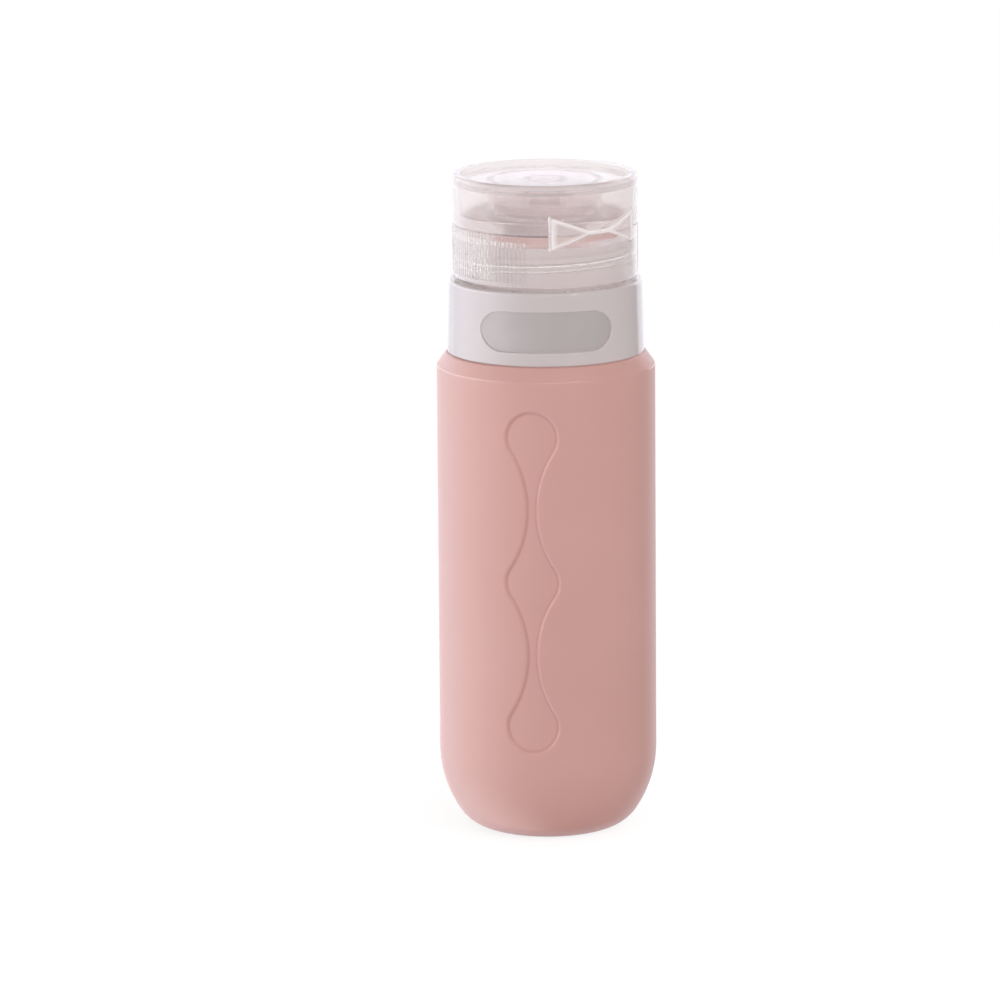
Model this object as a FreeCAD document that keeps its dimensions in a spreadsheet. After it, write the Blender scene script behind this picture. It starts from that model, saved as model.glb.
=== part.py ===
import FreeCAD, Part
import math
import os
import re

import Sketcher
from FreeCAD import Placement, Rotation, Vector

# A soft squeeze bottle with a hard threaded neck, a turning window collar and a flip-top screw cap.
# Millimetres and degrees. The bottle stands on the XY plane with its grip panel facing -Y.

SIZES = {
    # Bottle shell
    "body_radius": 20.5,
    "shell_wall": 1.9,
    "bottom_round_width": 10.0,
    "bottom_round_height": 15.5,
    "bottom_round_radius": 7.6,
    "foot_ring_width": 3.3,
    "foot_dish_depth": 0.5,
    "shoulder_height": 91.2,
    "shoulder_width": 1.8,
    "shoulder_drop": 2.5,
    "shoulder_edge_round": 0.8,
    "cavity_round": 3.0,
    "neck_bore_radius": 12.3,
    "neck_tube_wall": 1.7,
    "lip_reach": 1.0,
    "lip_thickness": 1.6,
    # Sunk grip panel of three lobes
    "panel_bottom_margin": 18.3,
    "panel_top_margin": 8.0,
    "panel_lobe_radius": 5.0,
    "panel_waist_width": 2.1,
    "panel_middle_width": 10.4,
    "panel_corner_round": 5.0,
    "panel_depth": 0.4,
    # Threaded neck
    "neck_fit_gap": 0.1,
    "neck_ring_wall": 1.0,
    "thread_zone_height": 8.65,
    "drum_wall": 2.9,
    "drum_top_step": 0.15,
    "snap_bead_height": 0.3,
    "snap_bead_width": 0.9,
    "snap_bead_margin": 0.12,
    "thread_depth": 0.75,
    "thread_root_width": 1.5,
    "thread_crest_width": 0.7,
    "thread_pitch": 3.0,
    "thread_turns": 1.4,
    "thread_top_margin": 1.05,
    "thread_flank_gap": 0.3,
    # Label band
    "label_band_margin": 0.63,
    "label_band_thickness": 0.4,
    "label_band_gap": 0.05,
    # Window collar
    "collar_height": 13.75,
    "collar_wall": 1.0,
    "collar_flare": 0.35,
    "collar_rest_gap": 0.1,
    "collar_turn_gap": 0.15,
    "collar_top_round": 0.5,
    "collar_bottom_round": 0.3,
    "window_width": 24.0,
    "window_bottom_margin": 2.55,
    "window_top_margin": 3.6,
    "window_edge_round": 0.2,
    "window_azimuth": 8.4,
    # Screw cap base
    "cap_wall": 1.25,
    "cap_rest_gap": 0.75,
    "parting_rise": 0.55,
    "cap_bottom_round": 0.45,
    "cap_thread_turns": 1.25,
    "cap_thread_gap": 0.25,
    "lip_pocket_gap": 0.2,
    "lip_pocket_depth": 1.1,
    "deck_gap": 0.5,
    "deck_height": 2.0,
    "deck_edge_round": 0.4,
    "boss_radius": 9.4,
    "boss_wall": 1.5,
    "boss_height": 1.9,
    "spout_plate": 1.4,
    "orifice_radius": 4.5,
    "rib_pitch_angle": 2.7,
    "rib_free_angle": 48.0,
    "rib_groove_width": 0.6,
    "rib_groove_depth": 0.25,
    "rib_bottom_margin": 0.9,
    "rib_top_margin": 0.2,
    # Dispensing valve and its retaining ring
    "valve_fit_gap": 0.1,
    "valve_flange_thickness": 1.1,
    "valve_head_gap": 0.3,
    "valve_head_rise": 0.5,
    "valve_web": 0.5,
    "valve_slit_length": 5.6,
    "valve_slit_width": 0.15,
    "retainer_width": 2.3,
    "retainer_fit_gap": 0.1,
    "retainer_chamfer": 0.3,
    # Flip lid
    "lid_height": 9.3,
    "lid_rest_gap": 0.15,
    "lid_wall": 1.25,
    "lid_top": 1.0,
    "lid_rim_width": 1.6,
    "lid_rim_height": 1.1,
    "lid_rim_round": 0.6,
    "lid_rim_inner_round": 0.3,
    "lid_ring_gap": 0.3,
    "lid_ring_wall": 0.7,
    "lid_ring_taper": 0.5,
    "lid_ring_overlap": 1.2,
    "stopper_gap": 0.3,
    "stopper_taper": 0.25,
    "stopper_wall": 1.0,
    "stopper_overlap": 0.7,
    "thumb_ledge_width": 6.4,
    "thumb_ledge_height": 1.4,
    "thumb_ledge_reach": 0.9,
    # Bow-tie hinge
    "hinge_azimuth": 43.3,
    "hinge_rise": 0.3,
    "hinge_half_width": 8.7,
    "hinge_end_height": 5.9,
    "hinge_end_gap": 0.5,
    "hinge_waist_height": 0.9,
    "hinge_gap": 0.15,
    "hinge_proud": 0.45,
    "flap_thickness": 0.95,
    "flap_tip_offset": 0.6,
    # Cuts run past what they cut by this much
    "overrun": 1.0,
}

FULL_TURN = 360.0
LEFT = "left"
RIGHT = "right"
SAME_PLACE = 1e-4
FRONT_PLANE = "XZ_Plane"
GROUND_PLANE = "XY_Plane"

doc = FreeCAD.newDocument("travel_bottle")
sheet = doc.addObject("Spreadsheet::Sheet", "Sizes")
for row, (alias, size) in enumerate(SIZES.items(), start=1):
    sheet.set(f"A{row}", alias)
    sheet.set(f"B{row}", str(size))
    sheet.setAlias(f"B{row}", alias)
doc.recompute()


def bound(text):
    """The same expression as other objects read it, with the sheet's name before each alias."""
    return re.sub(r"[a-z_]+", lambda word: "Sizes." * (word.group() in SIZES) + word.group(), text)


def number(text):
    return float(sheet.evalExpression(text))


# Heights and radii that several pieces share, as expressions of the sheet's sizes

NECK_RADIUS = "(neck_bore_radius + neck_tube_wall)"
LIP_RADIUS = f"({NECK_RADIUS} + lip_reach)"
NECK_RING_BORE = f"({NECK_RADIUS} + neck_fit_gap)"
THREAD_CORE = f"({NECK_RING_BORE} + neck_ring_wall)"
SKIRT_RADIUS = f"({THREAD_CORE} + thread_depth + cap_thread_gap)"
CAP_RADIUS = f"({SKIRT_RADIUS} + cap_wall)"
DECK_RADIUS = f"({CAP_RADIUS} - lid_wall - deck_gap)"
VALVE_SOCKET = "(boss_radius - boss_wall)"
DRUM_RADIUS = f"({NECK_RING_BORE} + drum_wall)"
COLLAR_BORE = f"({DRUM_RADIUS} + collar_turn_gap)"
COLLAR_TOP_RADIUS = f"({COLLAR_BORE} + collar_wall)"
COLLAR_BOTTOM_RADIUS = f"({COLLAR_TOP_RADIUS} + collar_flare)"

PANEL_BOTTOM = "panel_bottom_margin"
PANEL_TOP = "(shoulder_height - panel_top_margin)"
SHOULDER_BOTTOM = "(shoulder_height - shoulder_drop)"
COLLAR_BOTTOM = "(shoulder_height + collar_rest_gap)"
COLLAR_TOP = f"({COLLAR_BOTTOM} + collar_height)"
WINDOW_BOTTOM = f"({COLLAR_BOTTOM} + window_bottom_margin)"
WINDOW_TOP = f"({COLLAR_TOP} - window_top_margin)"
LABEL_BOTTOM = f"({WINDOW_BOTTOM} - label_band_margin)"
LABEL_TOP = f"({WINDOW_TOP} + label_band_margin)"
BEAD_HEIGHT = f"({LABEL_BOTTOM} - label_band_gap - snap_bead_margin - snap_bead_width / 2)"
DRUM_TOP = f"({COLLAR_TOP} - drum_top_step)"
NECK_RING_TOP = f"({DRUM_TOP} + thread_zone_height)"
THREAD_HEIGHT = f"({NECK_RING_TOP} - thread_top_margin - thread_turns * thread_pitch)"
LIP_TOP = f"({NECK_RING_TOP} + lip_thickness)"
CAP_BOTTOM = f"({COLLAR_TOP} + cap_rest_gap)"
PARTING = f"({LIP_TOP} + parting_rise)"
DECK_TOP = f"({PARTING} + deck_height)"
BOSS_TOP = f"({DECK_TOP} + boss_height)"
VALVE_SEAT = f"({BOSS_TOP} - spout_plate)"
VALVE_BOTTOM = f"({VALVE_SEAT} - valve_flange_thickness)"
LID_RIM = f"({PARTING} + lid_rest_gap)"
LID_TOP = f"({PARTING} + lid_height)"
LID_PLATE = f"({LID_TOP} - lid_rim_height)"
LID_CEILING = f"({LID_PLATE} - lid_top)"

HINGE_HEIGHT = f"({PARTING} + hinge_rise)"
HINGE_SLOPE = "(hinge_end_height / 2 / hinge_half_width)"
FLAP_OUTSIDE = f"({CAP_RADIUS} + hinge_proud)"
FLAP_INSIDE = f"({FLAP_OUTSIDE} - flap_thickness)"


def new_body(label):
    body = doc.addObject("PartDesign::Body", label)
    body.Label = label
    return body


def origin_feature(body, role):
    return next(feature for feature in body.Origin.OriginFeatures if feature.Role == role)


def arc_between(start, end, radius, side):
    """The arc of under half a turn from start to end, with its centre to the left or right of the way."""
    chord = end - start
    to_centre = math.sqrt(max(radius**2 - (chord.Length / 2) ** 2, 0))
    normal = Vector(-chord.y, chord.x, 0).normalize()
    centre = (start + end) / 2 + normal * (to_centre if side == LEFT else -to_centre)
    first, last = (start, end) if side == LEFT else (end, start)
    angles = [math.atan2(point.y - centre.y, point.x - centre.x) for point in (first, last)]
    circle = Part.Circle(centre, Vector(0, 0, 1), radius)
    return Part.ArcOfCircle(circle, angles[0], angles[1])


def add_sketch(body, plane, name, corners, height=None):
    """A closed outline of (x, y) corners in expressions. A corner of (x, y, radius, side) starts an arc."""
    sketch = body.newObject("Sketcher::SketchObject", name)
    sketch.AttachmentSupport = [(origin_feature(body, plane), "")]
    sketch.MapMode = "FlatFace"
    if height is not None:
        sketch.setExpression("AttachmentOffset.Base.z", bound(height))
    points = [Vector(number(corner[0]), number(corner[1]), 0) for corner in corners]
    ends = []
    for index, (across, up, *arc) in enumerate(corners):
        start = points[index]
        end = points[(index + 1) % len(points)]
        if arc:
            radius, side = arc
            sketch.addGeometry(arc_between(start, end, number(radius), side))
            ends.append((1, 2) if side == LEFT else (2, 1))
        else:
            sketch.addGeometry(Part.LineSegment(start, end))
            ends.append((1, 2))
    for index in range(len(corners)):
        following = (index + 1) % len(corners)
        joint = (index, ends[index][1], following, ends[following][0])
        sketch.addConstraint(Sketcher.Constraint("Coincident", *joint))
    for index, (across, up, *arc) in enumerate(corners):
        vertex = (index, ends[index][0])
        # In a sketch, -1 is the X axis, whose first point is the origin, and -2 is the Y axis
        for kind, axis, text in (("DistanceX", -2, across), ("DistanceY", -1, up)):
            if text == "0":
                sketch.addConstraint(Sketcher.Constraint("PointOnObject", *vertex, axis))
            else:
                add_dimension(sketch, (kind, -1, 1, *vertex), text)
        if arc:
            add_dimension(sketch, ("Radius", index), arc[0])
    return sketch


def add_dimension(sketch, reference, text):
    position = sketch.addConstraint(Sketcher.Constraint(*reference, number(text)))
    sketch.setExpression(f"Constraints[{position}]", bound(text))


def add_turned(body, kind, name, corners):
    """A Revolution or Groove of an outline of (radius, height) corners about the body's Z axis."""
    profile = add_sketch(body, FRONT_PLANE, f"{name}_profile", corners)
    feature = body.newObject(f"PartDesign::{kind}", name)
    feature.Profile = profile
    feature.ReferenceAxis = (profile, ["V_Axis"])
    feature.Angle = FULL_TURN
    doc.recompute()
    return feature


def add_straight(body, kind, name, plane, corners, length, height=None, backwards=False):
    """A Pad or Pocket of an outline, to one side of its plane."""
    profile = add_sketch(body, plane, f"{name}_profile", corners, height)
    feature = body.newObject(f"PartDesign::{kind}", name)
    feature.Profile = profile
    feature.setExpression("Length", bound(length))
    feature.Reversed = backwards
    doc.recompute()
    return feature


def add_thread(body, name, corners, turns):
    profile = add_sketch(body, FRONT_PLANE, f"{name}_profile", corners)
    thread = body.newObject("PartDesign::AdditiveHelix", name)
    thread.Profile = profile
    thread.ReferenceAxis = (profile, ["V_Axis"])
    thread.Mode = "pitch-turns-angle"
    thread.setExpression("Pitch", bound("thread_pitch"))
    thread.setExpression("Turns", bound(turns))
    doc.recompute()
    return thread


def ring_edges(body, radius, height):
    """Names of the circular edges of a body at a radius and a height."""
    names = []
    for index, edge in enumerate(body.Shape.Edges, start=1):
        is_circle = isinstance(edge.Curve, Part.Circle)
        if is_circle and math.isclose(edge.Curve.Radius, number(radius), abs_tol=SAME_PLACE):
            if math.isclose(edge.Curve.Center.z, number(height), abs_tol=SAME_PLACE):
                names.append(f"Edge{index}")
    return names


def add_fillet(body, name, edges, radius):
    fillet = body.newObject("PartDesign::Fillet", name)
    fillet.Base = (fillet.BaseFeature or body.Tip, edges)
    fillet.setExpression("Radius", bound(radius))
    doc.recompute()
    return fillet


def box_corners(left, right, bottom, top):
    return [(left, bottom), (right, bottom), (right, top), (left, top)]


def add_patch(label, corners, inside, outside, bottom, top, backwards=False):
    """A piece of a round wall between two radii, with its outline drawn in the front view."""
    body = new_body(label)
    reach = f"({outside} + overrun)"
    add_straight(body, "Pad", f"{label}_block", FRONT_PLANE, corners, reach, backwards=backwards)
    low = f"{bottom} - overrun"
    high = f"{top} + overrun"
    add_turned(body, "Groove", f"{label}_inside", box_corners("0", inside, low, high))
    add_turned(body, "Groove", f"{label}_outside", box_corners(outside, f"2 * {reach}", low, high))
    return body


def add_boolean(kind, label, base, tool):
    result = doc.addObject(f"Part::{kind}", label)
    result.Label = label
    result.Base = base
    result.Tool = tool
    doc.recompute()
    return result


def turn_to(piece, azimuth):
    """Turns a piece about Z, from the front towards +X."""
    piece.Placement = Placement(Vector(), Rotation(Vector(0, 0, 1), number(azimuth)))
    piece.setExpression("Placement.Rotation.Angle", bound(azimuth))
    return piece


def stand_at_origin(piece):
    piece.Placement = Placement()
    return piece


def panel_outline():
    """Two round end lobes and a middle lobe with rounded points, joined by hollow arcs at two waists."""
    spacing = f"(({PANEL_TOP} - {PANEL_BOTTOM}) / 2 - panel_lobe_radius)"
    half = f"({spacing} / 2)"
    waist = "(panel_waist_width / 2)"
    lobe = "panel_lobe_radius"
    point = "(panel_middle_width / 2 - panel_corner_round)"
    end_arc = f"(({half}^2 + {waist}^2 - {lobe}^2) / (2 * ({lobe} - {waist})))"
    inset = f"({waist} - {point})"
    corner = "panel_corner_round"
    middle_arc = f"(({half}^2 + {inset}^2 - {corner}^2) / (2 * ({corner} - {inset})))"
    lobe_x = f"({lobe} * ({waist} + {end_arc}) / ({end_arc} + {lobe}))"
    lobe_z = f"({spacing} - {lobe} * {half} / ({end_arc} + {lobe}))"
    point_x = f"({point} + {corner} * ({inset} + {middle_arc}) / ({middle_arc} + {corner}))"
    point_z = f"({corner} * {half} / ({middle_arc} + {corner}))"
    end_z = f"({spacing} + {lobe})"
    upward = [
        ("0", f"-{end_z}", lobe, LEFT),
        (lobe_x, f"-{lobe_z}", end_arc, RIGHT),
        (waist, f"-{half}", middle_arc, RIGHT),
        (point_x, f"-{point_z}", corner, LEFT),
        (point_x, point_z, middle_arc, RIGHT),
        (waist, half, end_arc, RIGHT),
        (lobe_x, lobe_z, lobe, LEFT),
    ]
    # The other side is the same run of corners turned half a turn about the panel's middle
    downward = [(f"-({x})", f"-({z})", radius, side) for x, z, radius, side in upward]
    middle = f"(({PANEL_BOTTOM} + {PANEL_TOP}) / 2)"
    return [(x, f"{middle} + ({z})", radius, side) for x, z, radius, side in upward + downward]


def make_silicone_bottle():
    shell = new_body("bottle_shell")
    width = "bottom_round_width"
    rise = "bottom_round_height"
    low_arc = "bottom_round_radius"
    foot = f"(body_radius - {width})"
    high_arc = f"(({width}^2 + {rise}^2 - 2 * {rise} * {low_arc}) / (2 * ({width} - {low_arc})))"
    across_share = f"(({high_arc} - {width}) / ({high_arc} - {low_arc}))"
    down_share = f"(({rise} - {low_arc}) / ({high_arc} - {low_arc}))"
    inner_low_arc = f"({low_arc} - shell_wall)"
    cavity_radius = "(body_radius - shell_wall)"
    cavity_top = "(shoulder_height - shell_wall)"
    cavity_round = f"min(cavity_round; ({cavity_radius} - neck_bore_radius) / 2)"
    dish = f"({foot} - foot_ring_width)"
    add_turned(
        shell,
        "Revolution",
        "shell_turned",
        [
            ("0", "foot_dish_depth"),
            (f"{dish} - foot_dish_depth", "foot_dish_depth"),
            (dish, "0"),
            (foot, "0", low_arc, LEFT),
            (f"{foot} + {low_arc} * {across_share}", f"{low_arc} * (1 - {down_share})", high_arc, LEFT),
            ("body_radius", rise),
            ("body_radius", SHOULDER_BOTTOM),
            ("body_radius - shoulder_width", "shoulder_height"),
            (NECK_RADIUS, "shoulder_height"),
            (NECK_RADIUS, NECK_RING_TOP),
            (LIP_RADIUS, NECK_RING_TOP),
            (LIP_RADIUS, LIP_TOP),
            ("neck_bore_radius", LIP_TOP),
            ("neck_bore_radius", cavity_top),
            (f"{cavity_radius} - {cavity_round}", cavity_top, cavity_round, RIGHT),
            (cavity_radius, f"{cavity_top} - {cavity_round}"),
            (cavity_radius, rise, f"{high_arc} - shell_wall", RIGHT),
            (
                f"{foot} + {inner_low_arc} * {across_share}",
                f"{low_arc} - {inner_low_arc} * {down_share}",
                inner_low_arc,
                RIGHT,
            ),
            (foot, "shell_wall"),
            ("0", "shell_wall"),
        ],
    )
    shoulder_edges = ring_edges(shell, "body_radius", SHOULDER_BOTTOM)
    add_fillet(shell, "shoulder_edge", shoulder_edges, "shoulder_edge_round")
    panel = add_patch(
        "grip_panel",
        panel_outline(),
        "(body_radius - panel_depth)",
        "(body_radius + overrun)",
        PANEL_BOTTOM,
        PANEL_TOP,
    )
    return stand_at_origin(add_boolean("Cut", "silicone_bottle", shell, panel))


def bead_corners(gap):
    """The snap bead's three-sided section on the drum, or the groove that clears it all round by a gap."""
    half = f"(snap_bead_width / 2 + {gap})"
    wall = f"{DRUM_RADIUS} + {gap}"
    crest = f"{DRUM_RADIUS} + snap_bead_height + {gap}"
    return [
        (wall, f"{BEAD_HEIGHT} - {half}"),
        (crest, f"{BEAD_HEIGHT} - {half} + snap_bead_height"),
        (crest, f"{BEAD_HEIGHT} + {half} - snap_bead_height"),
        (wall, f"{BEAD_HEIGHT} + {half}"),
    ]


def make_threaded_neck():
    ring = new_body("threaded_neck")
    channel = f"{DRUM_RADIUS} - label_band_thickness - label_band_gap"
    channel_low = f"{LABEL_BOTTOM} - label_band_gap"
    channel_high = f"{LABEL_TOP} + label_band_gap"
    add_turned(
        ring,
        "Revolution",
        "ring_turned",
        [
            (NECK_RING_BORE, "shoulder_height"),
            (DRUM_RADIUS, "shoulder_height"),
            *bead_corners("0"),
            (DRUM_RADIUS, channel_low),
            (channel, channel_low),
            (channel, channel_high),
            (DRUM_RADIUS, channel_high),
            (DRUM_RADIUS, DRUM_TOP),
            (THREAD_CORE, DRUM_TOP),
            (THREAD_CORE, NECK_RING_TOP),
            (NECK_RING_BORE, NECK_RING_TOP),
        ],
    )
    root = f"{THREAD_CORE} - thread_depth / 2"
    root_half = "(thread_root_width / 2 + (thread_root_width - thread_crest_width) / 4)"
    crest = f"{THREAD_CORE} + thread_depth"
    thread = [
        (root, f"{THREAD_HEIGHT} - {root_half}"),
        (crest, f"{THREAD_HEIGHT} - thread_crest_width / 2"),
        (crest, f"{THREAD_HEIGHT} + thread_crest_width / 2"),
        (root, f"{THREAD_HEIGHT} + {root_half}"),
    ]
    add_thread(ring, "neck_thread", thread, "thread_turns")
    return stand_at_origin(ring)


def make_label_band():
    band = new_body("label_band")
    inside = f"{DRUM_RADIUS} - label_band_thickness"
    corners = box_corners(inside, DRUM_RADIUS, LABEL_BOTTOM, LABEL_TOP)
    add_turned(band, "Revolution", "band_turned", corners)
    return stand_at_origin(band)


def window_outline():
    """A pill: two straight sides and a half circle at each end, drawn as quarter turns."""
    round_end = f"(({WINDOW_TOP} - {WINDOW_BOTTOM}) / 2)"
    middle = f"{WINDOW_BOTTOM} + {round_end}"
    straight = f"(window_width / 2 - {round_end})"
    return [
        (f"-{straight}", WINDOW_BOTTOM),
        (straight, WINDOW_BOTTOM, round_end, LEFT),
        ("window_width / 2", middle, round_end, LEFT),
        (straight, WINDOW_TOP),
        (f"-{straight}", WINDOW_TOP, round_end, LEFT),
        ("-window_width / 2", middle, round_end, LEFT),
    ]


def window_rim(body):
    """Names of the edges where the window breaks through the collar's outside."""
    names = []
    for index, edge in enumerate(body.Shape.Edges, start=1):
        middle = edge.valueAt((edge.FirstParameter + edge.LastParameter) / 2)
        above_bottom = middle.z > number(f"{WINDOW_BOTTOM} - window_edge_round")
        near_window = above_bottom and middle.z < number(f"{WINDOW_TOP} + window_edge_round")
        outside = math.hypot(middle.x, middle.y) > number(f"{COLLAR_BORE} + collar_wall / 2")
        in_view = middle.y < 0 and abs(middle.x) < number("window_width / 2 + window_edge_round")
        along = edge.BoundBox.XLength > number("window_edge_round")
        if near_window and outside and in_view and along:
            names.append(f"Edge{index}")
    return names


def make_window_collar():
    collar = new_body("window_collar")
    add_turned(
        collar,
        "Revolution",
        "collar_turned",
        [
            (COLLAR_BORE, COLLAR_BOTTOM),
            (COLLAR_BOTTOM_RADIUS, COLLAR_BOTTOM),
            (COLLAR_TOP_RADIUS, COLLAR_TOP),
            (COLLAR_BORE, COLLAR_TOP),
            *reversed(bead_corners("collar_turn_gap")),
        ],
    )
    top_edges = ring_edges(collar, COLLAR_TOP_RADIUS, COLLAR_TOP)
    add_fillet(collar, "collar_top_edge", top_edges, "collar_top_round")
    bottom_edges = ring_edges(collar, COLLAR_BOTTOM_RADIUS, COLLAR_BOTTOM)
    add_fillet(collar, "collar_bottom_edge", bottom_edges, "collar_bottom_round")
    reach = f"{COLLAR_BOTTOM_RADIUS} + overrun"
    add_straight(collar, "Pocket", "window", FRONT_PLANE, window_outline(), reach, backwards=True)
    add_fillet(collar, "window_edge", window_rim(collar), "window_edge_round")
    return turn_to(collar, "window_azimuth")


def hinge_recess():
    """The bow-tie sunk in the walls of cap and lid, with a gap all round the two flaps."""
    end = "(hinge_half_width + hinge_end_gap)"
    end_half = f"({HINGE_SLOPE} * {end} + hinge_gap)"
    waist_half = "(hinge_waist_height / 2)"
    waist = f"(({waist_half} - hinge_gap) / {HINGE_SLOPE})"
    corners = [
        (end, f"{HINGE_HEIGHT} - {end_half}"),
        (end, f"{HINGE_HEIGHT} + {end_half}"),
        (waist, f"{HINGE_HEIGHT} + {waist_half}"),
        (f"-{waist}", f"{HINGE_HEIGHT} + {waist_half}"),
        (f"-{end}", f"{HINGE_HEIGHT} + {end_half}"),
        (f"-{end}", f"{HINGE_HEIGHT} - {end_half}"),
        (f"-{waist}", f"{HINGE_HEIGHT} - {waist_half}"),
        (waist, f"{HINGE_HEIGHT} - {waist_half}"),
    ]
    bottom = f"{HINGE_HEIGHT} - {end_half}"
    top = f"{HINGE_HEIGHT} + {end_half}"
    return corners, bottom, top


def make_hinge_recess(label):
    corners, bottom, top = hinge_recess()
    floor = f"({FLAP_INSIDE} - hinge_gap)"
    return add_patch(label, corners, floor, f"({FLAP_OUTSIDE} + overrun)", bottom, top)


def make_cap_base():
    cap = new_body("cap_turned")
    pocket = f"({LIP_RADIUS} + lip_pocket_gap)"
    pocket_bottom = f"{LIP_TOP} - lip_pocket_depth"
    add_turned(
        cap,
        "Revolution",
        "cap_profile",
        [
            (SKIRT_RADIUS, CAP_BOTTOM),
            (CAP_RADIUS, CAP_BOTTOM),
            (CAP_RADIUS, PARTING),
            (DECK_RADIUS, PARTING),
            (DECK_RADIUS, DECK_TOP),
            ("boss_radius", DECK_TOP),
            ("boss_radius", BOSS_TOP),
            ("orifice_radius", BOSS_TOP),
            ("orifice_radius", VALVE_SEAT),
            (VALVE_SOCKET, VALVE_SEAT),
            (VALVE_SOCKET, LIP_TOP),
            (pocket, LIP_TOP),
            (pocket, pocket_bottom),
            (SKIRT_RADIUS, f"{pocket_bottom} - ({SKIRT_RADIUS} - {pocket})"),
        ],
    )
    add_fillet(cap, "cap_bottom_edge", ring_edges(cap, CAP_RADIUS, CAP_BOTTOM), "cap_bottom_round")
    add_fillet(cap, "deck_edge", ring_edges(cap, DECK_RADIUS, DECK_TOP), "deck_edge_round")
    add_fillet(cap, "boss_edge", ring_edges(cap, "boss_radius", BOSS_TOP), "deck_edge_round")
    # The cap's thread lies under the neck's, and starts where the turned cap meets the same helix
    crest = f"{THREAD_CORE} + cap_thread_gap"
    root = f"{SKIRT_RADIUS} + cap_wall / 4"
    step = "((thread_root_width + thread_crest_width) / 2 + thread_flank_gap)"
    start = f"({THREAD_HEIGHT} + thread_pitch * hinge_azimuth / {FULL_TURN} - {step})"
    flank = "(thread_root_width - thread_crest_width) / 2 / thread_depth"
    root_half = f"(thread_crest_width / 2 + {flank} * (({root}) - ({crest})))"
    thread = [
        (root, f"{start} - {root_half}"),
        (root, f"{start} + {root_half}"),
        (crest, f"{start} + thread_crest_width / 2"),
        (crest, f"{start} - thread_crest_width / 2"),
    ]
    add_thread(cap, "cap_thread", thread, "cap_thread_turns")
    add_ribs(cap)
    recess = make_hinge_recess("cap_hinge_recess")
    return turn_to(add_boolean("Cut", "cap_base", cap, recess), "hinge_azimuth")


def add_ribs(cap):
    """Fine upright grooves round the skirt, leaving it smooth beside the hinge."""
    angle = "rib_free_angle"
    outside = f"({CAP_RADIUS} + overrun)"
    bottom = f"({CAP_RADIUS} - rib_groove_depth)"
    flare = "(rib_groove_width / 2 * (overrun + rib_groove_depth) / rib_groove_depth)"
    corners = [
        (f"{bottom} * sin({angle} * 1 deg)", f"-{bottom} * cos({angle} * 1 deg)"),
        (
            f"{outside} * sin({angle} * 1 deg) - {flare} * cos({angle} * 1 deg)",
            f"-{outside} * cos({angle} * 1 deg) - {flare} * sin({angle} * 1 deg)",
        ),
        (
            f"{outside} * sin({angle} * 1 deg) + {flare} * cos({angle} * 1 deg)",
            f"-{outside} * cos({angle} * 1 deg) + {flare} * sin({angle} * 1 deg)",
        ),
    ]
    low = f"{CAP_BOTTOM} + rib_bottom_margin"
    length = f"{PARTING} - {CAP_BOTTOM} - rib_bottom_margin - rib_top_margin"
    groove = add_straight(cap, "Pocket", "rib_groove", GROUND_PLANE, corners, length, low, backwards=True)
    ribs = cap.newObject("PartDesign::PolarPattern", "ribs")
    ribs.Originals = [groove]
    ribs.Axis = (origin_feature(cap, "Z_Axis"), [""])
    ribbed_angle = f"({FULL_TURN} - 2 * rib_free_angle)"
    ribs.setExpression("Angle", bound(ribbed_angle))
    ribs.setExpression("Occurrences", bound(f"floor({ribbed_angle} / rib_pitch_angle) + 1"))
    cap.Tip = ribs
    doc.recompute()


def make_dispensing_valve():
    valve = new_body("dispensing_valve")
    flange = f"{VALVE_SOCKET} - valve_fit_gap"
    head = "(orifice_radius - valve_head_gap)"
    hollow_top = f"{VALVE_SEAT} + valve_head_rise - valve_web"
    add_turned(
        valve,
        "Revolution",
        "valve_turned",
        [
            ("0", hollow_top),
            (f"{head} - valve_web", hollow_top),
            (f"{head} - valve_web", VALVE_BOTTOM),
            (flange, VALVE_BOTTOM),
            (flange, VALVE_SEAT),
            (head, VALVE_SEAT),
            (head, f"{VALVE_SEAT} + valve_head_rise"),
            ("0", f"{VALVE_SEAT} + valve_head_rise"),
        ],
    )
    reach = "valve_slit_length / 2"
    half = "valve_slit_width / 2"
    cross = [
        (half, half),
        (half, reach),
        (f"-{half}", reach),
        (f"-{half}", half),
        (f"-{reach}", half),
        (f"-{reach}", f"-{half}"),
        (f"-{half}", f"-{half}"),
        (f"-{half}", f"-{reach}"),
        (half, f"-{reach}"),
        (half, f"-{half}"),
        (reach, f"-{half}"),
        (reach, half),
    ]
    length = "valve_flange_thickness + valve_head_rise + overrun"
    add_straight(valve, "Pocket", "slits", GROUND_PLANE, cross, length, VALVE_BOTTOM, backwards=True)
    return turn_to(valve, "hinge_azimuth")


def make_valve_retainer():
    ring = new_body("valve_retainer")
    outside = f"({VALVE_SOCKET} - retainer_fit_gap)"
    bore = f"{outside} - retainer_width"
    top = f"({VALVE_BOTTOM} - retainer_fit_gap)"
    add_turned(
        ring,
        "Revolution",
        "retainer_turned",
        [
            (bore, LIP_TOP),
            (outside, LIP_TOP),
            (outside, f"{top} - retainer_chamfer"),
            (f"{outside} - retainer_chamfer", top),
            (bore, top),
        ],
    )
    return stand_at_origin(ring)


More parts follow.
